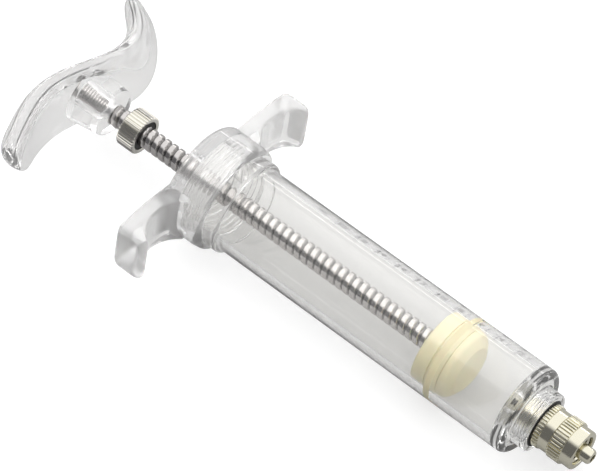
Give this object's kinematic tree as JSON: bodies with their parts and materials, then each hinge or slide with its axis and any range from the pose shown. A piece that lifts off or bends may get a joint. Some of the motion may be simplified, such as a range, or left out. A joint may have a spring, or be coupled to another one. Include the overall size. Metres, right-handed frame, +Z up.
{
  "type": "reusable dosing syringe",
  "caption": "Clear-barrelled hand syringe with a winged screw cap, threaded rod and dose-setting nut, wave-shaped palm handle, cream piston and a metal Luer lock nozzle.",
  "frame": {"origin": "middle of the footprint, on the surface the syringe lies on", "axes": "+X along the syringe towards its nozzle (the bore itself dips 1.8 degrees towards the nozzle, because the cap is wider than the barrel), +Z up from the surface, +Y to the side whose wing tip rests on the surface"},
  "size_m": [0.1724, 0.067, 0.0305],
  "materials": {
    "clear_plastic": "clear, moulded, glossy",
    "nickel_plate": "nickel plated, bright",
    "black_rubber": "matt",
    "cream_plastic": "satin",
    "cream_silicone": "satin"
  },
  "bodies": {
    "barrel": {"barrel_tube": "clear_plastic", "finger_grip_cap": "clear_plastic", "nozzle_adapter": "nickel_plate", "nozzle_gasket": "black_rubber"},
    "plunger": {"plunger_rod": "nickel_plate", "thumb_handle": "clear_plastic", "piston_body": "cream_plastic", "piston_seal": "cream_silicone"},
    "luer_nut": {"luer_lock_nut": "nickel_plate"},
    "dose_slider": {"dose_insert": "black_rubber"},
    "dose_setter": {"dose_nut": "nickel_plate"}
  },
  "joints": [
    {"name": "plunger_slide", "type": "slide", "parent": "barrel", "child": "plunger", "axis": [0.9995, 0, -0.032], "range_m": [-0.06, 0.0148]},
    {"name": "luer_nut_spin", "type": "hinge", "parent": "barrel", "child": "luer_nut", "pos_m": [0.07921, 0, 0.01155], "axis": [0.9995, 0, -0.032], "continuous": true},
    {"name": "dose_slide", "type": "slide", "parent": "plunger", "child": "dose_slider", "axis": [0.9995, 0, -0.032], "range_m": [-0.004, 0.0025]},
    {"name": "dose_turn", "type": "hinge", "parent": "dose_slider", "child": "dose_setter", "pos_m": [-0.06047, 0, 0.01601], "axis": [0.9995, 0, -0.032], "range_deg": [-642, 402]}
  ],
  "couplings": [
    {"joint": "dose_turn", "follows": "dose_slide", "rad_per_m": 2792.5}
  ]
}
